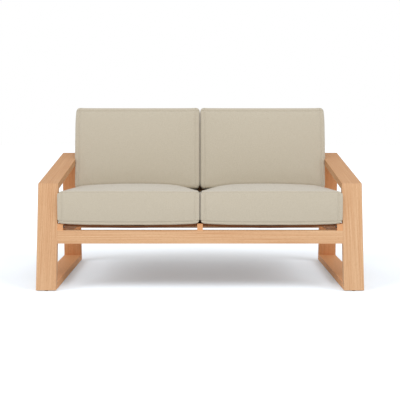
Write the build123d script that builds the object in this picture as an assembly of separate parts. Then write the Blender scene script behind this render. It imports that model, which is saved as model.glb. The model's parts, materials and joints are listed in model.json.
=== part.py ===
"""Patio loveseat: two closed-loop side frames, a slatted seat and back between them, four loose cushions.

Depths run back from the front feet and heights run up from the underside of the feet, until `place`
turns them into the model's own frame: X across the seat, Y from front to back, Z up.
"""
from build123d import *
import math
import os

# Side frames: four boards each, mitred into a loop
overall_width = 1524
side_width = 94
board_thickness = 32
foot_depth = 844
arm_front_height = 490
arm_front_setback = 103
arm_rear_height = 605
arm_rear_setback = 21
board_edge_radius = 2

# Loose tongues glued across each mitre
tongue_thickness = 8
tongue_reach = 18
tongue_width = 40
tongue_place_share = 0.62

# Clearance of tongues, dowels and bolts in their slots and holes
joinery_clearance = 0.1

# Glides nailed under the feet
glide_diameter = 18
glide_height = 4
glide_inset = 14
glide_pin_diameter = 3
glide_pin_length = 12

# Front apron and rear rail between the side frames
rail_thickness = 32
rail_height = 60
apron_top_height = 272.5

# Bearers that run front to back over the two rails
bearer_width = 26
bearer_depth = 60
bearer_rise = 31.5
seat_slope = 2

# Dished slats let into the bearers and the back posts
slat_thickness = 12
slat_dish = 12
slat_end_length = 11
seat_slat_count = 8
seat_slat_gap = 26.5
front_slat_setback = 34
rear_slat_setback = 8
back_slat_count = 6
back_slat_gap = 19
low_back_slat_setback = 24
high_back_slat_setback = 22

# Back posts and top rail
back_lean = 12
post_depth = 42
post_meeting_drop = 61.5
top_rail_drop = 53
top_rail_thickness = 28

# Dowels in the rails' ends and in the posts' feet and heads
dowel_diameter = 10
dowel_length = 50
dowel_spacing = 30
head_dowel_share = 0.7

# Bolts through the outer bearers and posts into threaded inserts in the side frames
bolt_diameter = 6
bolt_length = 50
bolt_head_diameter = 12
bolt_head_height = 4
bolt_socket_width = 4
bolt_socket_depth = 2
bolt_hole_overrun = 1
insert_diameter = 12
insert_length = 18
post_bolt_spacing = 60

# Cushions
cushion_side_gap = 2
cushion_clearance = 0.3
stacking_clearance = 0.5
seat_cushion_thickness = 153
seat_crown = 18
back_cushion_height = 412
back_cushion_thickness = 150
back_crown = 20
cushion_edge_radius = 24
cushion_corner_radius = 30
side_draw = 4
edge_turns = (0, 30, 60, 90)
dome_inset_shares = (0.18, 0.33, 0.55, 0.78)
contact_inset_share = 0.2

# Values that follow from the sizes above
inner_half = overall_width / 2 - side_width
side_middle = inner_half + side_width / 2
front_lean = math.atan2(arm_front_setback, arm_front_height)
rear_lean = math.atan2(arm_rear_setback, arm_rear_height)
slope = math.radians(seat_slope)
lean = math.radians(back_lean)
deck_height = apron_top_height + bearer_rise
deck_front = deck_height * math.tan(front_lean)
front_leg_span = board_thickness / math.cos(front_lean)
rear_leg_span = board_thickness / math.cos(rear_lean)
apron_span = rail_thickness / math.cos(front_lean)
rear_rail_span = rail_thickness / math.cos(rear_lean)
rear_rail_top_height = deck_height - (foot_depth - deck_front) * math.tan(slope) - bearer_rise


def front_face(height):
    """Depth of the front legs' and the apron's front face at a height."""
    return height * math.tan(front_lean)


def rear_face(height):
    """Depth of the rear legs' and the rear rail's back face at a height."""
    return foot_depth - height * math.tan(rear_lean)


def deck_point(along, above):
    """Depth and height of a point on the seat deck, measured back along it and square to it."""
    depth = deck_front + along * math.cos(slope) + above * math.sin(slope)
    height = deck_height - along * math.sin(slope) + above * math.cos(slope)
    return depth, height


def crossing(start, way, other_start, other_way):
    """Where two lines of depth and height cross, and how far along the first line that is."""
    cross = way[0] * other_way[1] - way[1] * other_way[0]
    gap = (other_start[0] - start[0], other_start[1] - start[1])
    along = (gap[0] * other_way[1] - gap[1] * other_way[0]) / cross
    return (start[0] + way[0] * along, start[1] + way[1] * along), along


deck_way = (math.cos(slope), -math.sin(slope))
back_way = (math.sin(lean), math.cos(lean))
back_inward_way = (math.cos(lean), -math.sin(lean))
front_leg_way = (math.sin(front_lean), math.cos(front_lean))
rear_leg_way = (-math.sin(rear_lean), math.cos(rear_lean))

# The posts' middle lines meet those of the rear legs a set drop below the arms' rear corners
meeting_height = arm_rear_height - post_meeting_drop
meeting = (rear_face(meeting_height) - rear_leg_span / 2, meeting_height)
post_front = (
    meeting[0] - post_depth / 2 * back_inward_way[0],
    meeting[1] - post_depth / 2 * back_inward_way[1],
)
back_foot, back_foot_along = crossing(deck_point(0, 0), deck_way, post_front, back_way)
seat_cushion_length = back_foot_along - cushion_clearance
cushion_low = cushion_side_gap
cushion_high = inner_half - cushion_side_gap


def back_point(along, before):
    """Depth and height of a point on the back, measured up along its front plane and square to it."""
    depth = back_foot[0] + along * math.sin(lean) - before * math.cos(lean)
    height = back_foot[1] + along * math.cos(lean) + before * math.sin(lean)
    return depth, height


def dome(inset, half, crown):
    """How far a cushion's crown stands above its edge, at a distance in from the edge."""
    return crown * (1 - ((half - inset) / half) ** 2)


def back_cushion_bottom(before):
    """How far up the back a back cushion's underside lies, where it stands on the seat cushion."""
    half = min(cushion_high - cushion_low, seat_cushion_length) / 2
    inset = half * contact_inset_share
    rise = cushion_clearance + seat_cushion_thickness + dome(inset, half, seat_crown) + stacking_clearance
    fall = slope + math.atan(2 * seat_crown * (half - inset) / half ** 2)
    stand = deck_point(seat_cushion_length - inset, rise)
    return crossing(back_point(0, before), back_way, stand, (math.cos(fall), -math.sin(fall)))[1]


# The top rail stays a set drop below the back cushions' top
back_cushion_top = back_cushion_bottom(back_cushion_thickness) + back_cushion_height
post_top = back_cushion_top - top_rail_drop - top_rail_thickness
rearmost_depth = back_point(post_top + top_rail_thickness, -post_depth)[0]
middle_depth = max(rearmost_depth, foot_depth) / 2


def place(depth, height):
    """Turns a depth and a height into the model's Y and Z."""
    return depth - middle_depth, height + glide_height


def side_profile(points, low, high):
    """Extrudes an outline of depths and heights across the seat, from one X to another."""
    outline = Plane.YZ * make_face(Polyline(*[place(*point) for point in points], close=True))
    return Pos(low, 0, 0) * extrude(outline, amount=high - low, dir=(1, 0, 0))


def cross_pin(radius, low, high, point):
    """A round pin that lies across the seat, from one X to another, at a depth and height."""
    y, z = place(*point)
    pin = Cylinder(radius, high - low, align=(Align.CENTER, Align.CENTER, Align.MIN))
    return Pos(low, y, z) * Rot(0, 90, 0) * pin


def plane_at(point, angle):
    """A plane across the seat, whose local Y runs at the given angle above level."""
    y, z = place(*point)
    return Plane(origin=(0, y, z), x_dir=(1, 0, 0), z_dir=(0, -math.sin(angle), math.cos(angle)))


deck_plane = plane_at(deck_point(0, 0), -slope)
back_plane = plane_at(back_foot, math.pi / 2 - lean)


def mirrored(solid):
    """The same piece on the other side of the seat's middle."""
    return mirror(solid, about=Plane.YZ)


def long_edges(solid, least):
    """The edges of a piece that are longer than a given length."""
    return [edge for edge in solid.edges() if edge.length > least]


# Side frames
outer_corners = [
    (0, 0),
    (arm_front_setback, arm_front_height),
    (foot_depth - arm_rear_setback, arm_rear_height),
    (foot_depth, 0),
]


def unit(start, end):
    """The direction from one point to another."""
    length = math.dist(start, end)
    return (end[0] - start[0]) / length, (end[1] - start[1]) / length


def mitre(index):
    """A corner of the loop: its outer point, the way along its mitre, and the mitre's length."""
    corner = outer_corners[index]
    before = unit(corner, outer_corners[index - 1])
    after = unit(corner, outer_corners[(index + 1) % len(outer_corners)])
    half_angle = math.acos(before[0] * after[0] + before[1] * after[1]) / 2
    inward = unit((0, 0), (before[0] + after[0], before[1] + after[1]))
    return corner, inward, board_thickness / math.sin(half_angle)


def inner_corner(index):
    corner, inward, length = mitre(index)
    return corner[0] + inward[0] * length, corner[1] + inward[1] * length


def side_board(index):
    """One board of a side frame, mitred at both ends and with its long edges eased."""
    following = (index + 1) % len(outer_corners)
    points = [outer_corners[index], outer_corners[following], inner_corner(following), inner_corner(index)]
    board = side_profile(points, inner_half, inner_half + side_width)
    return fillet(long_edges(board, side_width + board_thickness), radius=board_edge_radius)


def tongue(index, clearance):
    """The loose tongue across one mitre or, with a clearance, the slot that takes it."""
    corner, inward, length = mitre(index)
    middle = [corner[axis] + inward[axis] * length * tongue_place_share for axis in (0, 1)]
    reach = tongue_reach + clearance
    half = tongue_thickness / 2 + clearance
    points = [
        (middle[0] - inward[1] * a + inward[0] * b, middle[1] + inward[0] * a + inward[1] * b)
        for a, b in ((-reach, -half), (reach, -half), (reach, half), (-reach, half))
    ]
    half_width = tongue_width / 2 + clearance
    return side_profile(points, side_middle - half_width, side_middle + half_width)


# Dowels and bolts, as the right-hand side has them
apron_bottom_height = apron_top_height - rail_height
rear_rail_bottom_height = rear_rail_top_height - rail_height


def rail_dowel_points():
    """Where the dowels in the ends of the apron and of the rear rail lie."""
    for step in (-dowel_spacing / 2, dowel_spacing / 2):
        height = (apron_top_height + apron_bottom_height) / 2 + step
        yield front_face(height) + apron_span / 2, height
    for step in (-dowel_spacing / 2, dowel_spacing / 2):
        height = (rear_rail_top_height + rear_rail_bottom_height) / 2 + step
        yield rear_face(height) - rear_rail_span / 2, height


def rail_dowels(clearance):
    reach = dowel_length / 2 + clearance
    radius = dowel_diameter / 2 + clearance
    return [cross_pin(radius, inner_half - reach, inner_half + reach, point) for point in rail_dowel_points()]


def post_dowel(x, start, end, clearance):
    """A dowel along a post's middle, between two places measured up the back."""
    height = end - start + 2 * clearance
    pin = Cylinder(dowel_diameter / 2 + clearance, height, align=(Align.CENTER, Align.CENTER, Align.MIN))
    return back_plane * Pos(x, start - clearance, -post_depth / 2) * Rot(-90, 0, 0) * pin


def post_dowels(x, clearance):
    """The two dowels of the post at one X: into its bearer, and into the top rail."""
    foot = post_depth / 2 * math.tan(lean - slope)
    reach = dowel_length / 2
    return [
        post_dowel(x, foot - reach, foot + reach, clearance),
        post_dowel(x, post_top - reach, post_top + top_rail_thickness * head_dowel_share, clearance),
    ]


def slat_row(first, last, count, gap):
    """Where each slat of a row starts, and how wide it is, between the row's two ends."""
    width = (last - first - (count - 1) * gap) / count
    return [first + (width + gap) * index for index in range(count)], width


seat_slats = slat_row(
    front_slat_setback, seat_cushion_length - rear_slat_setback, seat_slat_count, seat_slat_gap)
back_slats = slat_row(
    low_back_slat_setback, post_top - high_back_slat_setback, back_slat_count, back_slat_gap)


def bolt_points():
    """Where the bolts go: the outer bearers' ends, then the outer posts where they cross the rear legs."""
    height = apron_top_height + bearer_rise / 2
    points = [(front_face(height) + front_leg_span / 2, height)]
    height = rear_rail_top_height + bearer_rise / 2
    points.append((rear_face(height) - rear_leg_span / 2, height))
    points.append(meeting)
    low_height = meeting_height - post_bolt_spacing
    on_leg = rear_face(low_height) - rear_leg_span / 2
    on_post = meeting[0] - post_bolt_spacing * math.tan(lean)
    toward_post_share = board_thickness / (board_thickness + post_depth)
    points.append((on_leg + (on_post - on_leg) * toward_post_share, low_height))
    return points


bolt_seat = inner_half - bearer_width


def bolt(point):
    """A button-headed bolt with a square socket, its head on the bearer's or post's inner side."""
    head = cross_pin(bolt_head_diameter / 2, bolt_seat - bolt_head_height, bolt_seat, point)
    shank = cross_pin(bolt_diameter / 2, bolt_seat, bolt_seat + bolt_length, point)
    y, z = place(*point)
    socket = Box(
        bolt_socket_depth, bolt_socket_width, bolt_socket_width,
        align=(Align.MIN, Align.CENTER, Align.CENTER),
    )
    return head + shank - Pos(bolt_seat - bolt_head_height, y, z) * socket


def insert(point):
    """A threaded insert, let into the side frame round the end of a bolt."""
    sleeve = cross_pin(insert_diameter / 2, inner_half, inner_half + insert_length, point)
    bore = cross_pin(bolt_diameter / 2 + joinery_clearance, inner_half, inner_half + insert_length, point)
    return sleeve - bore


def bolt_hole(point):
    """The hole for a bolt and its insert, from the bearer's or post's inner side into the side frame."""
    end = bolt_seat + bolt_length + bolt_hole_overrun
    through = cross_pin(bolt_diameter / 2 + joinery_clearance, bolt_seat, end, point)
    seat_end = inner_half + insert_length + joinery_clearance
    return through + cross_pin(insert_diameter / 2 + joinery_clearance, inner_half, seat_end, point)


# Glides
def glide(depth):
    """A round glide with its nail, under the side frame at one depth."""
    y, z = place(depth, 0)
    disc = Cylinder(glide_diameter / 2, glide_height, align=(Align.CENTER, Align.CENTER, Align.MAX))
    pin = Cylinder(glide_pin_diameter / 2, glide_pin_length, align=(Align.CENTER, Align.CENTER, Align.MIN))
    return Pos(side_middle, y, z) * (disc + pin)


def glide_hole(depth):
    y, z = place(depth, 0)
    radius = glide_pin_diameter / 2 + joinery_clearance
    height = glide_pin_length + joinery_clearance
    return Pos(side_middle, y, z) * Cylinder(radius, height, align=(Align.CENTER, Align.CENTER, Align.MIN))


glide_depths = {"front": glide_inset, "rear": foot_depth - glide_inset}


# Rails, bearers and posts
def apron():
    """The front rail, with its faces in the plane of the leaning front legs."""
    points = [
        (front_face(height) + across, height)
        for height, across in (
            (apron_top_height, 0), (apron_top_height, apron_span),
            (apron_bottom_height, apron_span), (apron_bottom_height, 0),
        )
    ]
    return side_profile(points, -inner_half, inner_half)


def rear_rail():
    """The rear rail, with its faces in the plane of the rear legs."""
    points = [
        (rear_face(height) - across, height)
        for height, across in (
            (rear_rail_top_height, 0), (rear_rail_top_height, rear_rail_span),
            (rear_rail_bottom_height, rear_rail_span), (rear_rail_bottom_height, 0),
        )
    ]
    return side_profile(points, -inner_half, inner_half)


def slat_pockets(plane, row, low, high):
    """The pockets that take the ends of a row of slats, between two places across the seat."""
    starts, width = row
    pocket = Box(high - low, width, slat_thickness, align=(Align.MIN, Align.MIN, Align.MAX))
    return [plane * Pos(low, start, 0) * pocket for start in starts]


def bearer(low):
    """A bearer, notched over both rails, its top in the plane of the seat."""
    underside = deck_point(0, -bearer_depth)
    top_rear = crossing(deck_point(0, 0), deck_way, (foot_depth, 0), rear_leg_way)[0]
    behind_apron = crossing(underside, deck_way, (apron_span, 0), front_leg_way)[0]
    before_rail = crossing(underside, deck_way, (foot_depth - rear_rail_span, 0), rear_leg_way)[0]
    points = [
        (front_face(apron_top_height), apron_top_height),
        deck_point(0, 0),
        top_rear,
        (rear_face(rear_rail_top_height), rear_rail_top_height),
        (rear_face(rear_rail_top_height) - rear_rail_span, rear_rail_top_height),
        before_rail,
        behind_apron,
        (front_face(apron_top_height) + apron_span, apron_top_height),
    ]
    return side_profile(points, low, low + bearer_width)


def post(low):
    """A back post, its foot cut to stand on the bearer."""
    foot_rise = post_depth * math.tan(lean - slope)
    points = [
        back_point(along, before)
        for along, before in ((0, 0), (post_top, 0), (post_top, -post_depth), (foot_rise, -post_depth))
    ]
    return side_profile(points, low, low + bearer_width)


def top_rail():
    """The rail across the heads of the posts, with its long edges eased."""
    top = post_top + top_rail_thickness
    points = [
        back_point(along, before)
        for along, before in ((post_top, 0), (top, 0), (top, -post_depth), (post_top, -post_depth))
    ]
    rail = side_profile(points, -inner_half, inner_half)
    return fillet(long_edges(rail, inner_half), radius=board_edge_radius)


# Slats
bay_low = bearer_width / 2
bay_high = inner_half - bearer_width


def slat(plane, start, width):
    """A slat of the right-hand bay, dished between its two flat ends."""
    half_span = (bay_high - bay_low) / 2
    half_length = half_span + slat_end_length

    def arc(level):
        return ThreePointArc((-half_span, level), (0, level - slat_dish), (half_span, level))

    low = -slat_thickness
    outline = make_face([
        Line((-half_length, 0), (-half_span, 0)), arc(0), Line((half_span, 0), (half_length, 0)),
        Line((half_length, 0), (half_length, low)),
        Line((half_length, low), (half_span, low)), arc(low), Line((-half_span, low), (-half_length, low)),
        Line((-half_length, low), (-half_length, 0)),
    ])
    board = extrude(Plane.XZ * outline, amount=width, dir=(0, 1, 0))
    return plane * Pos((bay_low + bay_high) / 2, start, 0) * board


# Cushions
def cushion_levels(half, thickness, crown):
    """Height and inset of each outline of a cushion, from its flat underside to the crown."""
    turns = [math.radians(turn) for turn in edge_turns]
    edge = [(cushion_edge_radius * (1 - math.cos(t)), cushion_edge_radius * (1 - math.sin(t))) for t in turns]
    levels = list(edge)
    levels += [(thickness - height + dome(inset, half, crown), inset) for height, inset in reversed(edge)]
    insets = [share * half for share in dome_inset_shares]
    return levels + [(thickness + dome(inset, half, crown), inset) for inset in insets]


def cushion_outline(low, high, near, far, near_draw):
    """A cushion's outline at one level: rounded corners, and sides that pull in between them."""
    radius = cushion_corner_radius
    bend = radius * (1 - math.sqrt(0.5))
    middle_x = (low + high) / 2
    middle_y = (near + far) / 2
    return make_face([
        ThreePointArc((low + radius, near), (middle_x, near + near_draw), (high - radius, near))
        if near_draw else Line((low + radius, near), (high - radius, near)),
        ThreePointArc((high - radius, near), (high - bend, near + bend), (high, near + radius)),
        ThreePointArc((high, near + radius), (high - side_draw, middle_y), (high, far - radius)),
        ThreePointArc((high, far - radius), (high - bend, far - bend), (high - radius, far)),
        ThreePointArc((high - radius, far), (middle_x, far - side_draw), (low + radius, far)),
        ThreePointArc((low + radius, far), (low + bend, far - bend), (low, far - radius)),
        ThreePointArc((low, far - radius), (low + side_draw, middle_y), (low, near + radius)),
        ThreePointArc((low, near + radius), (low + bend, near + bend), (low + radius, near)),
    ])


def seat_cushion():
    """A seat cushion of the right-hand bay: flat on its slats, with a crowned top."""
    half = min(cushion_high - cushion_low, seat_cushion_length) / 2
    outlines = [
        deck_plane * Pos(0, 0, cushion_clearance + height) * cushion_outline(
            cushion_low + inset, cushion_high - inset, inset, seat_cushion_length - inset, side_draw)
        for height, inset in cushion_levels(half, seat_cushion_thickness, seat_crown)
    ]
    return loft(outlines, ruled=True)


def back_cushion():
    """A back cushion of the right-hand bay: flat against its slats, raked to stand on the seat cushion."""
    half = min(cushion_high - cushion_low, back_cushion_height) / 2
    outlines = []
    for height, inset in cushion_levels(half, back_cushion_thickness, back_crown):
        before = cushion_clearance + height
        outline = cushion_outline(
            cushion_low + inset, cushion_high - inset,
            back_cushion_bottom(before) + inset, back_cushion_top - inset, 0)
        outlines.append(back_plane * Pos(0, 0, before) * outline)
    return loft(outlines, ruled=True)


# The pieces, by name
pieces = {}


def add_pair(name, solid):
    pieces["right_" + name] = solid
    pieces["left_" + name] = mirrored(solid)


bolt_holes = [bolt_hole(point) for point in bolt_points()]
tongue_slots = [tongue(index, joinery_clearance) for index in range(len(outer_corners))]
glide_holes = [glide_hole(depth) for depth in glide_depths.values()]
side_dowel_holes = rail_dowels(joinery_clearance)
for index, name in enumerate(["front_leg", "arm", "rear_leg", "runner"]):
    add_pair(name, side_board(index) - (tongue_slots + glide_holes + side_dowel_holes + bolt_holes))
add_pair("corner_tongues", Compound(children=[tongue(index, 0) for index in range(len(outer_corners))]))
for name, depth in glide_depths.items():
    add_pair(name + "_glide", glide(depth))

rail_holes = side_dowel_holes + [mirrored(hole) for hole in side_dowel_holes]
pieces["front_apron"] = apron() - rail_holes
pieces["rear_rail"] = rear_rail() - rail_holes

outer_bearer = bearer(bay_high) - slat_pockets(deck_plane, seat_slats, bay_high, bay_high + slat_end_length)
outer_post = post(bay_high) - slat_pockets(back_plane, back_slats, bay_high, bay_high + slat_end_length)
outer_x = inner_half - bearer_width / 2
add_pair("bearer", outer_bearer - (bolt_holes + post_dowels(outer_x, joinery_clearance)))
add_pair("back_post", outer_post - (bolt_holes + post_dowels(outer_x, joinery_clearance)))

centre_bearer = bearer(-bay_low)
centre_post = post(-bay_low)
for low in (-bay_low, bay_low - slat_end_length):
    centre_bearer -= slat_pockets(deck_plane, seat_slats, low, low + slat_end_length)
    centre_post -= slat_pockets(back_plane, back_slats, low, low + slat_end_length)
pieces["centre_bearer"] = centre_bearer - post_dowels(0, joinery_clearance)
pieces["centre_back_post"] = centre_post - post_dowels(0, joinery_clearance)
head_holes = [hole for x in (-outer_x, 0, outer_x) for hole in post_dowels(x, joinery_clearance)]
pieces["back_top_rail"] = top_rail() - head_holes

for name, plane, (starts, width) in (("seat", deck_plane, seat_slats), ("back", back_plane, back_slats)):
    for number, start in enumerate(starts, 1):
        add_pair(f"{name}_slat_{number}", slat(plane, start, width))

side_fixings = {
    "frame_dowels": rail_dowels(0) + post_dowels(outer_x, 0),
    "frame_bolts": [bolt(point) for point in bolt_points()],
    "bolt_inserts": [insert(point) for point in bolt_points()],
}
for name, solids in side_fixings.items():
    middle = post_dowels(0, 0) if name == "frame_dowels" else []
    pieces[name] = Compound(children=solids + [mirrored(solid) for solid in solids] + middle)

add_pair("seat_cushion", seat_cushion())
add_pair("back_cushion", back_cushion())

os.makedirs("parts", exist_ok=True)
for name, piece in pieces.items():
    export_step(piece, f"parts/{name}.step")
print(len(pieces), "pieces, middle depth", middle_depth)
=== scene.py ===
"""The looks of a patio loveseat in oiled teak with woven cushions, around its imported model, in metres."""
import json
import math

import bmesh
import bpy
import numpy as np
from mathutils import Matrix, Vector
from mathutils.bvhtree import BVHTree


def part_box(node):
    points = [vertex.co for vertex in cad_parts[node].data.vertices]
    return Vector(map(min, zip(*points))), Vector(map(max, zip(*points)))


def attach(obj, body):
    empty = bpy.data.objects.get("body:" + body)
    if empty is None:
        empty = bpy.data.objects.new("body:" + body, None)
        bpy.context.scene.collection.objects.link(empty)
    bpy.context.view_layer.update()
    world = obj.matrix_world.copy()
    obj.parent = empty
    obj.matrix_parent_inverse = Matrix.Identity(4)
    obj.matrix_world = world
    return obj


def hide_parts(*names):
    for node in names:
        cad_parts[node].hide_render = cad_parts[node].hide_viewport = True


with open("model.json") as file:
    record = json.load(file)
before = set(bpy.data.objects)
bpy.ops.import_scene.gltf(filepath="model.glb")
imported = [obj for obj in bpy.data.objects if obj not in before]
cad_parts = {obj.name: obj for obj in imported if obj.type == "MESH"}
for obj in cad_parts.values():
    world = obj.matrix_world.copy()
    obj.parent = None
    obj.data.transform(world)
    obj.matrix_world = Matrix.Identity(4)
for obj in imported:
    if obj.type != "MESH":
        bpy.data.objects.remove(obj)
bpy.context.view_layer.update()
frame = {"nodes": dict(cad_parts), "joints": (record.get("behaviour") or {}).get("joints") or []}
nodes = frame["nodes"]
mm = 0.001

# The camera stands where the photograph was taken: just lower than the back cushions' tops, well in
# front, with a short telephoto lens tipped a little down at the seat.
camera_distance = 3.7504
camera_height = 0.797
camera_tilt = math.radians(5.653)
sensor_width = 36
focal_length = 73.9
front_of_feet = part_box("left_front_leg")[0].y

camera = bpy.data.objects.new("camera", bpy.data.cameras.new("camera"))
camera.data.sensor_width = sensor_width
camera.data.lens = focal_length
camera.location = (0, front_of_feet - camera_distance, camera_height)
camera.rotation_euler = (math.pi / 2 - camera_tilt, 0, 0)
bpy.context.scene.collection.objects.link(camera)
bpy.context.scene.camera = camera


# The studio is a white tent: a bright even sky and a pale floor light the seat from all sides, and a
# broad lamp high in front helps them. Soft lamps overhead, for the floor alone, shape the seat's shadow
# on it. Directly seen, the open floor and the sky are white.
def add_node(tree, kind, settings=None, inputs=None):
    """Adds a node, sets its options, and gives each named input a value or a link."""
    made = tree.nodes.new(kind)
    for name, value in (settings or {}).items():
        setattr(made, name, value)
    for name, value in (inputs or {}).items():
        if isinstance(value, bpy.types.NodeSocket):
            tree.links.new(value, made.inputs[name])
        else:
            made.inputs[name].default_value = value
    return made


def linear(code, alpha=1):
    """An sRGB hex colour as linear red, green, blue and alpha."""
    parts = [int(code[start:start + 2], 16) / 255 for start in (1, 3, 5)]
    return [p / 12.92 if p <= 0.04045 else ((p + 0.055) / 1.055) ** 2.4 for p in parts] + [alpha]


def blank_material(name):
    """A material with nothing in its node tree."""
    made = bpy.data.materials.new(name)
    made.use_nodes = True
    made.node_tree.nodes.clear()
    return made


def surface(tree, inputs):
    """Ends a material in a principled surface."""
    shader = add_node(tree, "ShaderNodeBsdfPrincipled", inputs=inputs)
    add_node(tree, "ShaderNodeOutputMaterial", inputs={"Surface": shader.outputs[0]})


def two_tones(tree, value, low, high, span=(0, 1)):
    """A colour that goes from a low to a high one while a value goes over its span."""
    ramp = add_node(tree, "ShaderNodeValToRGB", inputs={"Fac": value})
    for element, position, colour in zip(ramp.color_ramp.elements, span, (low, high)):
        element.position = position
        element.color = colour
    return ramp.outputs["Color"]


def seen_directly(tree):
    """1 on rays from the camera, a mirror or glass, and 0 on rays that carry light."""
    rays = add_node(tree, "ShaderNodeLightPath")
    total = add_node(tree, "ShaderNodeMath", {"operation": "MAXIMUM"},
                     {0: rays.outputs["Is Camera Ray"], 1: rays.outputs["Is Glossy Ray"]})
    return add_node(tree, "ShaderNodeMath", {"operation": "MAXIMUM"},
                    {0: total.outputs[0], 1: rays.outputs["Is Transmission Ray"]}).outputs[0]


def lamp(name, kind, place, aim, power, lit, **options):
    """A lamp at a place, turned to shine at an aim, that lights one collection."""
    made = bpy.data.objects.new(name, bpy.data.lights.new(name, kind))
    made.data.energy = power
    for option, value in options.items():
        setattr(made.data, option, value)
    made.location = place
    made.rotation_euler = (Vector(aim) - Vector(place)).to_track_quat("-Z", "Y").to_euler()
    made.light_linking.receiver_collection = lit
    bpy.context.scene.collection.objects.link(made)


floor_size = 40
floor_glow = 0.29
floor_colour = "#C2C2C2"
seen_floor_colour = "#C1C8CF"
floor_material = blank_material("studio floor")
tree = floor_material.node_tree
dull = add_node(tree, "ShaderNodeBsdfDiffuse", inputs={"Color": linear(floor_colour)})
matt = add_node(tree, "ShaderNodeBsdfDiffuse", inputs={"Color": linear(seen_floor_colour)})
glow = add_node(tree, "ShaderNodeEmission", inputs={"Color": (1, 1, 1, 1), "Strength": floor_glow})
both = add_node(tree, "ShaderNodeAddShader", inputs={0: matt.outputs[0], 1: glow.outputs[0]})
seen = add_node(tree, "ShaderNodeMixShader", inputs={
    0: seen_directly(tree), 1: dull.outputs[0], 2: both.outputs[0]})
add_node(tree, "ShaderNodeOutputMaterial", inputs={"Surface": seen.outputs[0]})
floor_mesh = bpy.data.meshes.new("floor")
reach = floor_size / 2
floor_mesh.from_pydata([(-reach, -reach, 0), (reach, -reach, 0), (reach, reach, 0), (-reach, reach, 0)],
                       [], [(0, 1, 2, 3)])
floor_mesh.materials.append(floor_material)
floor = bpy.data.objects.new("floor", floor_mesh)
bpy.context.scene.collection.objects.link(floor)

sky_level = 0.76
world = bpy.data.worlds.new("studio")
world.use_nodes = True
bpy.context.scene.world = world
tree = world.node_tree
tree.nodes.clear()
soft = add_node(tree, "ShaderNodeBackground", inputs={"Color": (1, 1, 1, 1), "Strength": sky_level})
white = add_node(tree, "ShaderNodeBackground", inputs={"Color": (1, 1, 1, 1), "Strength": 1.0})
seen = add_node(tree, "ShaderNodeMixShader", inputs={
    0: seen_directly(tree), 1: soft.outputs[0], 2: white.outputs[0]})
add_node(tree, "ShaderNodeOutputWorld", inputs={"Surface": seen.outputs[0]})

the_floor = bpy.data.collections.new("the floor")
the_floor.objects.link(floor)
all_but_the_floor = bpy.data.collections.new("all but the floor")
all_but_the_floor.objects.link(floor)
all_but_the_floor.collection_objects[0].light_linking.link_state = "EXCLUDE"
seat_middle = (0, 0, 0.4)
floor_lamps = (("left", -3.1, 0.50), ("middle", 0.1, 0.26), ("right", 3.1, 0.50))
floor_lamp_depth = -1.5
floor_lamp_height = 3.3
floor_lamp_spread = math.radians(34)
front_lamp_place = (0.1, -3.6, 3.8)
front_lamp_power = 82
for lamp_name, lamp_x, level in floor_lamps:
    lamp(lamp_name + " floor lamp", "SUN", (lamp_x, floor_lamp_depth, floor_lamp_height), seat_middle,
         math.pi * level, the_floor, angle=floor_lamp_spread)
lamp("front lamp", "AREA", front_lamp_place, seat_middle, front_lamp_power, all_but_the_floor,
     shape="RECTANGLE", size=4.0, size_y=1.5)
bpy.context.scene.view_settings.view_transform = "Standard"

# The side frames, rails, bearers, posts and slats are solid teak, planed, sanded and rubbed with oil.
# Oil gives it a warm honey colour and a low satin gloss, and leaves fine dark pores open. Every board
# is cut from its own plank, so the grain runs along it and differs from its neighbours'.
grain_way = Vector((1, 0, 0))
pale_teak = "#EAC59D"
deep_teak = "#CB966C"
pore_teak = "#A87344"
brown_teak = "#A4611F"
# Painted shade: this dark brown on the seat slats stands in for the shade under the cushions.
painted_shade_teak = "#7E4B28"
# Painted warm shade: this red on the rear legs and bearers stands in for light bounced off teak into their
# shade.
painted_warm_shade_teak = "#F79A50"
# Painted light: this paler golden tone brightens the runners' shaded tops.
painted_light_teak = "#FFBC82"
# A ring of the wave node takes about two units at the scale used here, so a unit is half a ring.
half_ring = 4.5 * mm
ring_scale = 1 / math.tau
ring_length = 500 * mm
# The streaks are wide enough to show from where the camera stands.
streak_width = 3.5 * mm
streak_length = 380 * mm
pore_width = 0.6 * mm
pore_length = 12 * mm
patch_width = 260 * mm
pith_distance = 0.21
plank_step = Vector((1.37, 0.083, 0.057))
ring_share, streak_share, patch_share = 0.05, 0.75, 0.2
figure_span = (0.3, 0.7)
pore_span = (0.32, 0.42)
pore_tint = 0.6
teak_index = 1.5
least_roughness = 0.54
most_roughness = 0.68
teak_gloss = 0.1
pore_depth = 0.2 * mm
streak_relief = 0.25
teak_bump = 0.3
# Planks differ: the arms are browner. Painted shade darkens the seat slats, painted warm shade
# reddens the rear legs and bearers, and painted light makes the runners paler and more golden.
plank_tones_and_painted_light = (
    ("seat_slat", painted_shade_teak, 0.88), ("runner", painted_light_teak, 0.6), ("rear_leg", painted_warm_shade_teak, 0.4),
    ("bearer", painted_warm_shade_teak, 0.3), ("arm", brown_teak, 0.3),
)


def noise(tree, place, detail, rough=0.5):
    """A noise from 0 to 1 at a place that is already scaled to the pattern's size."""
    made = add_node(tree, "ShaderNodeTexNoise", inputs={
        "Vector": place, "Scale": 1.0, "Detail": detail, "Roughness": rough})
    return made.outputs["Fac"]


def scaled(tree, place, sizes):
    """A place divided by the pattern's size along each axis."""
    made = add_node(tree, "ShaderNodeMapping", inputs={
        "Vector": place, "Scale": [1 / size for size in sizes]})
    return made.outputs[0]


def maths(tree, operation, first, second):
    """One sum of two values or sockets."""
    return add_node(tree, "ShaderNodeMath", {"operation": operation}, {0: first, 1: second}).outputs[0]


def plank_tone_and_painted_light(name):
    """The tone a board leans to, and how far: the arms' own, painted shade on the seat slats, rear legs and
    bearers, painted light on the runners.
    """
    found = [(tone, share) for part, tone, share in plank_tones_and_painted_light if part in name]
    return found[0] if found else (pale_teak, 0.0)


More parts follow.
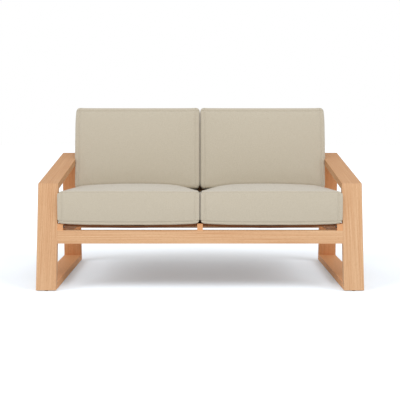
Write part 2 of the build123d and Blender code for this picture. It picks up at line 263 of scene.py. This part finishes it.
def teak(name, grain, number):
    """Oiled teak for one board: its grain direction, and its number in the stack of planks."""
    material = blank_material("oiled teak " + name)
    tree = material.node_tree
    place = add_node(tree, "ShaderNodeTexCoord").outputs["Object"]
    turn = Vector(grain).rotation_difference(grain_way).to_euler()
    shift = plank_step * (number + 1) + Vector((0, 0, pith_distance))
    along = add_node(tree, "ShaderNodeMapping", inputs={
        "Vector": place, "Rotation": turn, "Location": shift}).outputs[0]
    ring_place = scaled(tree, along, (ring_length, half_ring, half_ring))
    rings = add_node(tree, "ShaderNodeTexWave", {"wave_type": "RINGS", "rings_direction": "X"}, {
        "Vector": ring_place, "Scale": ring_scale, "Distortion": 5.0, "Detail": 3.0,
        "Detail Scale": 0.3, "Detail Roughness": 0.6}).outputs["Fac"]
    streaks = noise(tree, scaled(tree, along, (streak_length, streak_width, streak_width)), 5, 0.6)
    patches = noise(tree, scaled(tree, along, (streak_length * 2, patch_width, patch_width)), 2)
    pores = noise(tree, scaled(tree, along, (pore_length, pore_width, pore_width)), 2, 0.6)
    figure = maths(tree, "MULTIPLY", rings, ring_share)
    figure = maths(tree, "ADD", figure, maths(tree, "MULTIPLY", streaks, streak_share))
    figure = maths(tree, "ADD", figure, maths(tree, "MULTIPLY", patches, patch_share))
    # For the seat slats, rear legs and bearers this tone is painted shade, and for the runners painted
    # light.
    tone, share = plank_tone_and_painted_light(name)
    deep, pale = [Vector(linear(code)).lerp(Vector(linear(tone)), share) for code in (deep_teak, pale_teak)]
    wood = two_tones(tree, figure, deep, pale, figure_span)
    open_pores = add_node(tree, "ShaderNodeMapRange", inputs={
        "Value": pores, "From Min": pore_span[0], "From Max": pore_span[1],
        "To Min": pore_tint, "To Max": 0.0}).outputs[0]
    colour = add_node(tree, "ShaderNodeMix", {"data_type": "RGBA"}, {
        0: open_pores, 6: wood, 7: linear(pore_teak)})
    gloss = add_node(tree, "ShaderNodeMapRange", inputs={
        "Value": streaks, "From Min": figure_span[0], "From Max": figure_span[1],
        "To Min": least_roughness, "To Max": most_roughness})
    relief = maths(tree, "SUBTRACT", maths(tree, "MULTIPLY", streaks, streak_relief), open_pores)
    bump = add_node(tree, "ShaderNodeBump", inputs={
        "Height": relief, "Strength": teak_bump, "Distance": pore_depth})
    surface(tree, {
        "Base Color": colour.outputs[2], "Roughness": gloss.outputs[0], "IOR": teak_index,
        "Specular IOR Level": teak_gloss, "Normal": bump.outputs[0]})
    return material


def long_axis(node):
    """The direction of a board, from the spread of its corners."""
    points = np.array([corner.co for corner in node.data.vertices])
    spread = np.linalg.svd(points - points.mean(0), full_matrices=False)[2][0]
    return Vector(spread if spread[np.argmax(abs(spread))] > 0 else -spread)


def dress(node, material):
    """Gives a piece one material all over."""
    node.data.materials.clear()
    node.data.materials.append(material)


hardware = {"frame_dowels", "frame_bolts", "bolt_inserts", "left_corner_tongues", "right_corner_tongues"}
boards = sorted(
    name for name in nodes
    if name not in hardware and not name.endswith(("glide", "cushion"))
)
for number, name in enumerate(boards):
    dress(nodes[name], teak(name, long_axis(nodes[name]), number))

# The loose tongues and dowels are plain beech, turned or milled, and glued in where they don't show.
# Beech is close and even, with hardly any grain to see.
beech_fleck = (2 * mm, 30 * mm, 2 * mm)
deep_beech = "#C99B6B"
pale_beech = "#DDB488"
beech_roughness = 0.6
beech = blank_material("plain beech")
tree = beech.node_tree
place = add_node(tree, "ShaderNodeTexCoord").outputs["Object"]
fleck = noise(tree, scaled(tree, place, beech_fleck), 2)
wood = two_tones(tree, fleck, linear(deep_beech), linear(pale_beech))
surface(tree, {"Base Color": wood, "Roughness": beech_roughness})
for name in ("frame_dowels", "left_corner_tongues", "right_corner_tongues"):
    dress(nodes[name], beech)

# The bolts are stainless steel with bronzed button heads, and their inserts are turned brass. Both
# have a fine grit that leaves their gloss a little uneven.
grit_size = 0.4 * mm
grit_depth = 0.05 * mm
grit_bump = 0.2
grit_roughness = 0.08


def turned_metal(name, colour, roughness):
    """A bare metal of one colour, with its fine grit."""
    material = blank_material(name)
    tree = material.node_tree
    place = add_node(tree, "ShaderNodeTexCoord").outputs["Object"]
    grit = noise(tree, scaled(tree, place, (grit_size, grit_size, grit_size)), 2)
    dull = add_node(tree, "ShaderNodeMapRange", inputs={
        "Value": grit, "To Min": roughness - grit_roughness, "To Max": roughness + grit_roughness})
    bump = add_node(tree, "ShaderNodeBump", inputs={
        "Height": grit, "Strength": grit_bump, "Distance": grit_depth})
    surface(tree, {
        "Base Color": linear(colour), "Metallic": 1.0, "Roughness": dull.outputs[0],
        "Normal": bump.outputs[0]})
    return material


stainless = turned_metal("bronzed stainless steel", "#6B625A", 0.4)
dress(nodes["frame_bolts"], stainless)
dress(nodes["bolt_inserts"], turned_metal("turned brass", "#D9B56A", 0.35))

# The glides are moulded black nylon, matt and slightly scuffed where they meet the floor.
scuff_size = 1.5 * mm
black_nylon = "#171614"
scuffed_nylon = "#2B2A27"
nylon_roughness = 0.6
nylon = blank_material("moulded black nylon")
tree = nylon.node_tree
place = add_node(tree, "ShaderNodeTexCoord").outputs["Object"]
scuffs = noise(tree, scaled(tree, place, (scuff_size, scuff_size, scuff_size)), 3)
skin = two_tones(tree, scuffs, linear(black_nylon), linear(scuffed_nylon))
surface(tree, {"Base Color": skin, "Roughness": nylon_roughness})
for name in nodes:
    if name.endswith("glide"):
        dress(nodes[name], nylon)

# Two screws of the bolts' bronzed stainless steel hold each end of a slat down in its pocket. Their
# countersunk heads lie all but flush with the slat, and have a square socket for the driver.
screw_head_radius = 3.4 * mm
screw_head_depth = 2.6 * mm
screw_socket_width = 2.6 * mm
screw_socket_depth = 1.6 * mm
screw_proud = 0.15 * mm
screw_end_distance = 5.5 * mm
screw_shares = (0.25, 0.75)
screw_sides = 20
screw_taper = 0.5


def read_points(piece):
    """The places of a piece's corners, one to a row."""
    points = np.empty(len(piece.data.vertices) * 3)
    piece.data.vertices.foreach_get("co", points)
    return points.reshape(-1, 3)


def joint_way(name):
    """The direction that a joint slides in."""
    return next(Vector(joint["axis"]) for joint in frame["joints"] if joint["name"] == name)


def own_axes(way):
    """Across the seat, along a support, and up or forward off it."""
    return [Vector((1, 0, 0)), way, Vector((1, 0, 0)).cross(way)]


def local_box(name, axes):
    """A node's least and greatest places along its own axes."""
    points = read_points(nodes[name]) @ np.array(axes).T
    return points.min(0), points.max(0)


seat_axes = own_axes(-joint_way("left_seat_slide"))
back_axes = own_axes(joint_way("left_back_lift"))
screw_places = []
screw_ways = []
for kind, axes in (("seat", seat_axes), ("back", back_axes)):
    for name in sorted(nodes):
        if name.split("_")[1:3] == [kind, "slat"]:
            low, high = local_box(name, axes)
            for x in (low[0] + screw_end_distance, high[0] - screw_end_distance):
                for share in screw_shares:
                    spot = (x, low[1] + share * (high[1] - low[1]), high[2] + screw_proud)
                    screw_places.append(sum((way * value for way, value in zip(axes, spot)), Vector()))
                    screw_ways.append(axes[2])
screw_mesh = bpy.data.meshes.new("slat_screws")
screw_mesh.from_pydata(screw_places, [], [])
outward = screw_mesh.attributes.new("outward", "FLOAT_VECTOR", "POINT")
outward.data.foreach_set("vector", [value for way in screw_ways for value in way])
screws = bpy.data.objects.new("slat_screws", screw_mesh)
bpy.context.scene.collection.objects.link(screws)
tree = bpy.data.node_groups.new("countersunk screws", "GeometryNodeTree")
tree.interface.new_socket("Geometry", in_out="OUTPUT", socket_type="NodeSocketGeometry")
tree.interface.new_socket("Geometry", in_out="INPUT", socket_type="NodeSocketGeometry")
screw_sizes = {"head radius": screw_head_radius, "head depth": screw_head_depth,
               "socket width": screw_socket_width, "socket depth": screw_socket_depth}
for size_name in screw_sizes:
    tree.interface.new_socket(size_name, in_out="INPUT", socket_type="NodeSocketFloat")
given = add_node(tree, "NodeGroupInput").outputs
head = add_node(tree, "GeometryNodeMeshCone", {"fill_type": "NGON"}, {
    "Vertices": screw_sides, "Radius Top": given["head radius"],
    "Radius Bottom": maths(tree, "MULTIPLY", given["head radius"], screw_taper),
    "Depth": given["head depth"]})
lowered = add_node(tree, "ShaderNodeCombineXYZ", inputs={
    "Z": maths(tree, "MULTIPLY", given["head depth"], -1)})
head = add_node(tree, "GeometryNodeTransform", inputs={
    "Geometry": head.outputs["Mesh"], "Translation": lowered.outputs[0]})
socket_size = add_node(tree, "ShaderNodeCombineXYZ", inputs={
    "X": given["socket width"], "Y": given["socket width"],
    "Z": maths(tree, "MULTIPLY", given["socket depth"], 2)})
socket = add_node(tree, "GeometryNodeMeshCube", inputs={"Size": socket_size.outputs[0]})
cut = add_node(tree, "GeometryNodeMeshBoolean", {"operation": "DIFFERENCE"}, {
    "Mesh 1": head.outputs[0], "Mesh 2": socket.outputs["Mesh"]})
facing = add_node(tree, "GeometryNodeInputNamedAttribute", {"data_type": "FLOAT_VECTOR"}, {
    "Name": "outward"})
turned = add_node(tree, "FunctionNodeAlignRotationToVector", {"axis": "Z"}, {
    "Vector": facing.outputs["Attribute"]})
copies = add_node(tree, "GeometryNodeInstanceOnPoints", inputs={
    "Points": given["Geometry"], "Instance": cut.outputs["Mesh"], "Rotation": turned.outputs[0]})
real = add_node(tree, "GeometryNodeRealizeInstances", inputs={"Geometry": copies.outputs[0]})
coated = add_node(tree, "GeometryNodeSetMaterial", inputs={
    "Geometry": real.outputs[0], "Material": stainless})
add_node(tree, "NodeGroupOutput", inputs={"Geometry": coated.outputs[0]})
repeat = screws.modifiers.new("screws", "NODES")
repeat.node_group = tree
for item in tree.interface.items_tree:
    if item.name in screw_sizes:
        repeat[item.identifier] = screw_sizes[item.name]
made = bpy.data.meshes.new_from_object(screws.evaluated_get(bpy.context.evaluated_depsgraph_get()))
screws.modifiers.clear()
screws.data = made
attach(screws, "frame")

# The cushions are foam cores in zipped covers of woven outdoor acrylic, a heathered oatmeal cloth with
# a dry, soft face. Each cover is sewn from panels, whose seams sink in and pucker the cloth a little.
# The shape is a box pattern with rounded edges, blown up on its foam with its seams drawn tight.
grid_step = 12 * mm
seam_inset = 20 * mm
low_seam_inset = 11 * mm
edge_lines = [seam_inset, 15 * mm, low_seam_inset, 7.5 * mm, 4.5 * mm, 2 * mm, 0]
seam_depth = 4 * mm
seam_reach = 3.4 * mm
pucker_depth = 0.45 * mm
pucker_length = 19 * mm
pucker_reach = 16 * mm
pucker_wander = 2.1
pucker_drift = 0.83
pucker_slant = 31
seam_width = 1 * mm
# The cloth's weight and stiffness, the air that blows it up, and how long it is left to settle.
cloth_mass = 0.4
cloth_pressure = 2.5
cloth_stretch = 20
cloth_squeeze = 12
cloth_shear = 8
cloth_bend = 0.6
cloth_steps = 5
cloth_frames = 20
seam_shrink = 0.03
settle_limit = 3 * mm
centre_swell = 1.8 * mm
end_power = 3
face_tolerance = 0.01 * mm
least_length = 1e-9
# Stands for the distance to a seam where there is none near.
far_off = 1.0


def grid_lines(half):
    """Where a cushion's grid lines lie along one axis: even over the flat, close round the edges."""
    flat = half - edge_lines[0]
    count = max(2, round(2 * flat / grid_step))
    inner = [-flat + 2 * flat * step / count for step in range(count + 1)]
    outer = [half - inset for inset in edge_lines[1:]]
    return [-place for place in reversed(outer)] + inner + outer


def cushion_grid(name, halves):
    """A box of square faces, with its pattern's places and a UV map in metres along its threads."""
    lines = [grid_lines(half) for half in halves]
    shape = bmesh.new()
    threads = shape.loops.layers.uv.new("threads")
    corners = {}

    def corner(place):
        key = tuple(round(value / mm, 3) for value in place)
        if key not in corners:
            corners[key] = shape.verts.new(place)
        return corners[key]

    for axis in range(3):
        across, up = (axis + 1) % 3, (axis + 2) % 3
        for side in (-1, 1):
            for i in range(len(lines[across]) - 1):
                for j in range(len(lines[up]) - 1):
                    ring = [(i, j), (i + 1, j), (i + 1, j + 1), (i, j + 1)]
                    places = []
                    for a, b in (ring if side > 0 else reversed(ring)):
                        place = [0, 0, 0]
                        place[axis] = side * halves[axis]
                        place[across] = lines[across][a]
                        place[up] = lines[up][b]
                        places.append(place)
                    face = shape.faces.new([corner(place) for place in places])
                    face.smooth = True
                    for loop, place in zip(face.loops, places):
                        pair = (place[across], place[up]) if axis != 0 else (place[up], place[across])
                        loop[threads].uv = pair
    mesh = bpy.data.meshes.new(name)
    shape.to_mesh(mesh)
    shape.free()
    piece = bpy.data.objects.new(name, mesh)
    bpy.context.scene.collection.objects.link(piece)
    pattern = mesh.attributes.new("pattern", "FLOAT_VECTOR", "POINT")
    pattern.data.foreach_set("vector", read_points(piece).ravel())
    return piece


def write_points(piece, points):
    """Moves a piece's corners to new places, one to a row."""
    piece.data.vertices.foreach_set("co", points.ravel())
    piece.data.update()


def pattern_places(piece):
    """Where a cushion's corners lie on the plain box that its cover is cut for."""
    places = np.empty(len(piece.data.vertices) * 3, np.float32)
    piece.data.attributes["pattern"].data.foreach_get("vector", places)
    return places.reshape(-1, 3).astype(float)


def rounded(points, halves, front, corner_radius, rim_radius):
    """Rounds a box's corners as its front shows them, and then the rims of its front and rear."""
    across = [axis for axis in range(3) if axis != front]
    ends = np.array(halves)[across]
    core = np.clip(points[:, across], corner_radius - ends, ends - corner_radius)
    out = points[:, across] - core
    length = np.maximum(np.linalg.norm(out, axis=1, keepdims=True), least_length)
    out *= abs(out).max(1, keepdims=True) / length
    distance = np.linalg.norm(out, axis=1)
    way = out / np.maximum(distance, least_length)[:, None]
    a = np.maximum(rim_radius - corner_radius + distance, 0)
    b = np.maximum(rim_radius - halves[front] + abs(points[:, front]), 0)
    share = rim_radius / np.maximum(np.hypot(a, b), rim_radius)
    made = points.copy()
    made[:, across] = core + out - way * (a * (1 - share) * (b > 0))[:, None]
    made[:, front] -= np.sign(points[:, front]) * b * (1 - share) * (a > 0)
    return made


def crown_share(points, halves, others):
    """1 in the middle of a face, falling to 0 at its edges along the other two axes."""
    left = [1 - np.clip(abs(points[:, other]) / halves[other], 0, 1) ** 2 for other in others]
    return left[0] * left[1]


def settled(piece, halves, seams):
    """A cover's points when it is blown up with its seams drawn tight, as wide and long as its foam."""
    start = read_points(piece)
    group = piece.vertex_groups.new(name="seams")
    group.add([int(index) for index in np.nonzero(seams)[0]], 1.0, "REPLACE")
    cloth = piece.modifiers.new("cloth", "CLOTH")
    settings = cloth.settings
    settings.quality = cloth_steps
    settings.mass = cloth_mass
    settings.tension_stiffness = cloth_stretch
    settings.compression_stiffness = cloth_squeeze
    settings.shear_stiffness = cloth_shear
    settings.bending_stiffness = cloth_bend
    settings.use_pressure = True
    settings.uniform_pressure_force = cloth_pressure
    settings.vertex_group_shrink = "seams"
    settings.shrink_min = 0.0
    settings.shrink_max = seam_shrink
    settings.effector_weights.gravity = 0
    cloth.collision_settings.use_collision = False
    scene = bpy.context.scene
    for step in range(cloth_frames):
        scene.frame_set(step + 1)
    view = piece.evaluated_get(bpy.context.evaluated_depsgraph_get())
    end = np.empty(len(view.data.vertices) * 3)
    view.data.vertices.foreach_get("co", end)
    piece.modifiers.clear()
    scene.frame_set(1)
    piece.vertex_groups.clear()
    move = end.reshape(-1, 3) - start
    length = np.linalg.norm(move, axis=1, keepdims=True)
    share = settle_limit * np.tanh(length / settle_limit) / np.maximum(length, least_length)
    points = start + move * share
    for axis in (0, 1):
        ends = abs(start[:, axis]) > halves[axis] - face_tolerance
        points[:, axis] *= halves[axis] / np.median(abs(points[ends, axis]))
    return points


def meet(points, halves, front, side):
    """Swells a cushion's inner end, between its front and rear, till it all but touches its neighbour."""
    inward = np.clip(-side * points[:, 0] / halves[0], 0, 1) ** end_power
    share = 1 - np.clip(abs(points[:, front]) / halves[front], 0, 1) ** 2
    swollen = side * points[:, 0] - centre_swell * inward * share
    points[:, 0] = side * np.maximum(swollen, -halves[0] - centre_swell)


def subdivide(piece):
    """One even subdivision, made real."""
    smooth = piece.modifiers.new("smooth", "SUBSURF")
    smooth.levels = 1
    smooth.render_levels = 1
    fine = bpy.data.meshes.new_from_object(piece.evaluated_get(bpy.context.evaluated_depsgraph_get()))
    piece.modifiers.clear()
    old = piece.data
    piece.data = fine
    bpy.data.meshes.remove(old)


def rim_gap(flat, halves, face, inset):
    """Distance on the pattern from the loop that runs round the four other sides, an inset in from a face.

    The face is 1, 2 or 3 for the far end of an axis, and -1, -2 or -3 for its near end.
    """
    main = abs(face) - 1
    others = [axis for axis in range(3) if axis != main]
    toward = np.sign(face) * flat[:, main]
    on_side = np.max([abs(flat[:, axis]) - halves[axis] for axis in others], axis=0) > -face_tolerance
    inward = np.min([halves[axis] - abs(flat[:, axis]) for axis in others], axis=0)
    on_face = toward > halves[main] - face_tolerance
    height = toward - (halves[main] - inset)
    return np.where(on_side, abs(height), np.where(on_face, inward + inset, far_off))


def panel_gap(flat, halves, axis, line_axis, inset):
    """Distance on the pattern from two lines on each of a pair of faces, an inset in from their ends."""
    on_face = abs(flat[:, axis]) > halves[axis] - face_tolerance
    return np.where(on_face, abs(abs(flat[:, line_axis]) - (halves[line_axis] - inset)), far_off)


def sew(piece, gaps):
    """Sinks the seams into the cover and puckers the cloth beside them."""
    flat = pattern_places(piece)
    points = read_points(piece)
    normals = np.empty(len(points) * 3)
    piece.data.vertices.foreach_get("normal", normals)
    gap = np.min(gaps, axis=0)
    turns = flat.sum(1) / pucker_length
    phase = turns * math.tau + pucker_wander * np.sin(turns * pucker_drift) + flat[:, 0] * pucker_slant
    wave = np.cos(phase)
    depth = seam_depth * np.exp(-(gap / seam_reach) ** 2)
    depth += pucker_depth * wave * np.exp(-(gap / pucker_reach) ** 2)
    write_points(piece, points - normals.reshape(-1, 3) * depth[:, None])


thread_spacing = 1.3 * mm
# At this scale the wave node repeats once in a unit, which is one thread.
thread_scale = math.pi / 10
# Each cover is cut from its own place in the cloth, so that no two show the same flecks.
thread_shift = 0.37
slub_length = 26 * mm
slub_width = 1.5 * thread_spacing
slub_share, fleck_share = 0.55, 0.45
fleck_size = 5 * mm
tone_span = (0.3, 0.7)
pale_thread = "#D3CAB9"
dark_thread = "#BFB5A0"
hollow_shade = 0.85
slub_relief = 0.6
thread_depth = 0.3 * mm
thread_bump = 0.4
cloth_roughness = 0.92
cloth_sheen = 0.5
sheen_roughness = 0.45


def woven_cloth(name, number):
    """Plain-woven acrylic: dyed threads over and under each other, with slubs and flecks of two tones."""
    material = blank_material("woven acrylic " + name)
    tree = material.node_tree
    place = add_node(tree, "ShaderNodeUVMap", {"uv_map": "threads"}).outputs[0]
    place = add_node(tree, "ShaderNodeMapping", inputs={
        "Vector": place, "Location": (thread_shift * number, thread_shift * number / 3, 0)}).outputs[0]
    in_threads = scaled(tree, place, (thread_spacing, thread_spacing, 1))
    over = add_node(tree, "ShaderNodeTexChecker", inputs={
        "Vector": in_threads, "Scale": 1.0, "Color1": (1, 1, 1, 1), "Color2": (0, 0, 0, 1)}).outputs["Fac"]
    rounds = [
        add_node(tree, "ShaderNodeTexWave", {"wave_type": "BANDS", "bands_direction": way}, {
            "Vector": in_threads, "Scale": thread_scale, "Distortion": 0.0}).outputs["Fac"]
        for way in ("X", "Y")
    ]
    height = add_node(tree, "ShaderNodeMix", {}, {0: over, 2: rounds[0], 3: rounds[1]}).outputs[0]
    slubs = [
        noise(tree, scaled(tree, place, sizes), 3, 0.6)
        for sizes in ((slub_width, slub_length, 1), (slub_length, slub_width, 1))
    ]
    slub = add_node(tree, "ShaderNodeMix", {}, {0: over, 2: slubs[0], 3: slubs[1]}).outputs[0]
    fleck = noise(tree, scaled(tree, place, (fleck_size, fleck_size, 1)), 3, 0.65)
    tone = maths(tree, "MULTIPLY", slub, slub_share)
    tone = maths(tree, "ADD", tone, maths(tree, "MULTIPLY", fleck, fleck_share))
    dyed = two_tones(tree, tone, linear(dark_thread), linear(pale_thread), tone_span)
    # Painted shade darkens the cloth's colour in the hollows between the threads.
    hollow = add_node(tree, "ShaderNodeMapRange", inputs={
        "Value": height, "From Min": 0.0, "From Max": 0.5, "To Min": hollow_shade, "To Max": 1.0})
    colour = add_node(tree, "ShaderNodeMix", {"data_type": "RGBA", "blend_type": "MULTIPLY"}, {
        0: 1.0, 6: dyed, 7: hollow.outputs[0]})
    relief = maths(tree, "ADD", height, maths(tree, "MULTIPLY", slub, slub_relief))
    bump = add_node(tree, "ShaderNodeBump", inputs={
        "Height": relief, "Strength": thread_bump, "Distance": thread_depth})
    surface(tree, {
        "Base Color": colour.outputs[2], "Roughness": cloth_roughness, "Sheen Weight": cloth_sheen,
        "Sheen Roughness": sheen_roughness, "Normal": bump.outputs[0]})
    return material


# The seat cushions lie on the dished slats and sag into them between the bearers. Their tops are
# crowned, and their long sides fall away behind the square front corners, where the foam gives.
seat_crown = 18 * mm
seat_sag = 7.5 * mm
sag_power = 4
seat_tuck = 1 * mm
seat_corner_radius = 19 * mm
seat_rim_radius = 9 * mm
front_swell = 18 * mm
front_draw = 0.35
outer_shoulder = 6 * mm
outer_shoulder_reach = 45 * mm
inner_shoulder = 21 * mm
inner_shoulder_reach = 90 * mm
shoulder_run = 1.1
back_dent = 9 * mm
back_dent_start = 120 * mm
back_dent_length = 80 * mm
seat_covers = {}
for side_name, side, number in (("left", -1, 1), ("right", 1, 2)):
    low, high = local_box(side_name + "_seat_cushion", seat_axes)
    top = high[2] - seat_crown
    halves = ((high[0] - low[0]) / 2, (high[1] - low[1]) / 2, (top - low[2]) / 2)
    middle = ((high[0] + low[0]) / 2, (high[1] + low[1]) / 2, (top + low[2]) / 2)
    cover = cushion_grid(side_name + "_seat_cover", halves)
    flat = pattern_places(cover)
    points = rounded(flat, halves, 1, seat_corner_radius, seat_rim_radius)
    write_points(cover, points)
    rims = np.minimum(rim_gap(flat, halves, 3, 0), rim_gap(flat, halves, -3, low_seam_inset))
    points = settled(cover, halves, rims < seam_width)
    meet(points, halves, 1, side)
    crown = seat_crown - (points[:, 2].max() - halves[2])
    upper = np.clip(points[:, 2] / halves[2], 0, 1)
    lower = np.clip(-points[:, 2] / halves[2], 0, 1)
    behind = np.clip((points[:, 1] + halves[1]) / (halves[1] * shoulder_run), 0, 1)
    shoulders = outer_shoulder * np.exp(-((halves[0] - side * points[:, 0]) / outer_shoulder_reach) ** 2)
    shoulders += inner_shoulder * np.exp(-((halves[0] + side * points[:, 0]) / inner_shoulder_reach) ** 2)
    dent = np.clip((points[:, 1] - back_dent_start) / back_dent_length, 0, 1)
    points[:, 2] += upper * crown_share(points, halves, (0, 1)) * crown
    points[:, 2] -= upper * (shoulders * behind + back_dent * dent * dent * (3 - 2 * dent))
    swell = front_swell * (1 - front_draw * (points[:, 2] / halves[2]) ** 2)
    points[:, 1] -= swell * np.clip(-points[:, 1] / halves[1], 0, 1) ** 2
    points[:, 2] -= lower * ((1 - (points[:, 0] / halves[0]) ** sag_power) * seat_sag - seat_tuck)
    write_points(cover, (points + np.array(middle)) @ np.array(seat_axes))
    subdivide(cover)
    flat = pattern_places(cover)
    sew(cover, [
        rim_gap(flat, halves, 3, 0), rim_gap(flat, halves, -3, low_seam_inset),
        panel_gap(flat, halves, 1, 0, seam_inset),
    ])
    dress(cover, woven_cloth(side_name + " seat", number))
    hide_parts(side_name + "_seat_cushion")
    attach(cover, side_name + "_seat")
    seat_covers[side_name] = cover

# The back cushions stand on the seat cushions, settle down on their crowns, and lean on the back slats.
# Their outer ends swell over the arms, and lie flat against the side frames below them.
back_crown = 20 * mm
back_corner_radius = 20 * mm
back_rim_radius = 15 * mm
outer_swell = 6 * mm
settle_drop = 25 * mm
settle_height = 110 * mm
settle_gap = 0.6 * mm
side_gap = 0.5 * mm
foot_share = 0.6
swell_fade = 0.45
arm_depths = (0.0, 0.25)
above_everything = 2.0
drop_start = 80 * mm
drop_length = 200 * mm


def arm_top(y):
    """Height of the right arm's top at one depth, found by looking straight down at it."""
    low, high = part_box("right_arm")
    above = ((low.x + high.x) / 2, y, above_everything)
    return nodes["right_arm"].ray_cast(above, (0, 0, -1))[1].z


bpy.context.view_layer.update()
arm_heights = [arm_top(y) for y in arm_depths]
arm_slope = (arm_heights[1] - arm_heights[0]) / (arm_depths[1] - arm_depths[0])
side_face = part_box("right_arm")[0].x
for side_name, side, number in (("left", -1, 3), ("right", 1, 4)):
    low, high = local_box(side_name + "_back_cushion", back_axes)
    face = high[2] - back_crown
    halves = ((high[0] - low[0]) / 2, (high[1] - low[1]) / 2, (face - low[2]) / 2)
    middle = ((high[0] + low[0]) / 2, (high[1] + low[1]) / 2, (face + low[2]) / 2)
    cad = read_points(nodes[side_name + "_back_cushion"]) @ np.array(back_axes).T - np.array(middle)
    front_foot = cad[cad[:, 2] > foot_share * halves[2], 1].min()
    rear_foot = cad[cad[:, 2] < -foot_share * halves[2], 1].min()
    rake = (front_foot - rear_foot) / (2 * halves[2])
    cover = cushion_grid(side_name + "_back_cover", halves)
    flat = pattern_places(cover)
    points = rounded(flat, halves, 2, back_corner_radius, back_rim_radius)
    write_points(cover, points)
    rims = np.minimum(rim_gap(flat, halves, 3, 0), rim_gap(flat, halves, -3, 0))
    points = settled(cover, halves, rims < seam_width)
    meet(points, halves, 2, side)
    crown = back_crown - (points[:, 2].max() - halves[2])
    upper = np.clip(points[:, 2] / halves[2], 0, 1)
    points[:, 2] += upper * crown_share(points, halves, (0, 1)) * crown
    reach_down = np.clip((halves[1] - points[:, 1]) / (2 * halves[1]), 0, 1)
    foot = rake * (points[:, 2] + halves[2]) + rear_foot
    points[:, 1] += reach_down * (foot - min(front_foot, rear_foot))
    outward = np.clip(side * points[:, 0] / halves[0], 0, 1) ** end_power
    fade = np.clip((halves[1] - points[:, 1]) / (swell_fade * halves[1]), 0, 1)
    points[:, 0] += side * outward * outer_swell * fade * (2 - fade)
    write_points(cover, (points + np.array(middle)) @ np.array(back_axes))
    subdivide(cover)
    flat = pattern_places(cover)

    seat = seat_covers[side_name].data
    seat_tree = BVHTree.FromPolygons([corner.co for corner in seat.vertices],
                                     [tuple(face.vertices) for face in seat.polygons])
    placed = read_points(cover)
    own = placed @ np.array(back_axes).T - np.array(middle)
    rise = np.maximum(own[:, 1] - (rake * (own[:, 2] + halves[2]) + rear_foot), 0)
    for index in np.nonzero(rise < settle_height)[0]:
        base = Vector(placed[index]) - back_axes[1] * rise[index]
        hit = seat_tree.ray_cast(base + back_axes[1] * drop_start, -back_axes[1], drop_length)[0]
        gap = (base - hit).dot(back_axes[1]) - settle_gap if hit else settle_drop
        share = (1 - rise[index] / settle_height) ** 2
        placed[index] -= np.array(back_axes[1]) * min(gap, settle_drop) * share
    above_arm = placed[:, 2] - (arm_heights[0] + arm_slope * placed[:, 1])
    widest = side_face - side_gap + np.maximum(above_arm, 0)
    placed[:, 0] = side * np.minimum(side * placed[:, 0], widest)
    write_points(cover, placed)
    sew(cover, [
        np.where(flat[:, 1] < 0, far_off, panel_gap(flat, halves, 2, 1, seam_inset)),
        panel_gap(flat, halves, 2, 0, seam_inset),
    ])
    dress(cover, woven_cloth(side_name + " back", number))
    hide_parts(side_name + "_back_cushion")
    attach(cover, side_name + "_back")
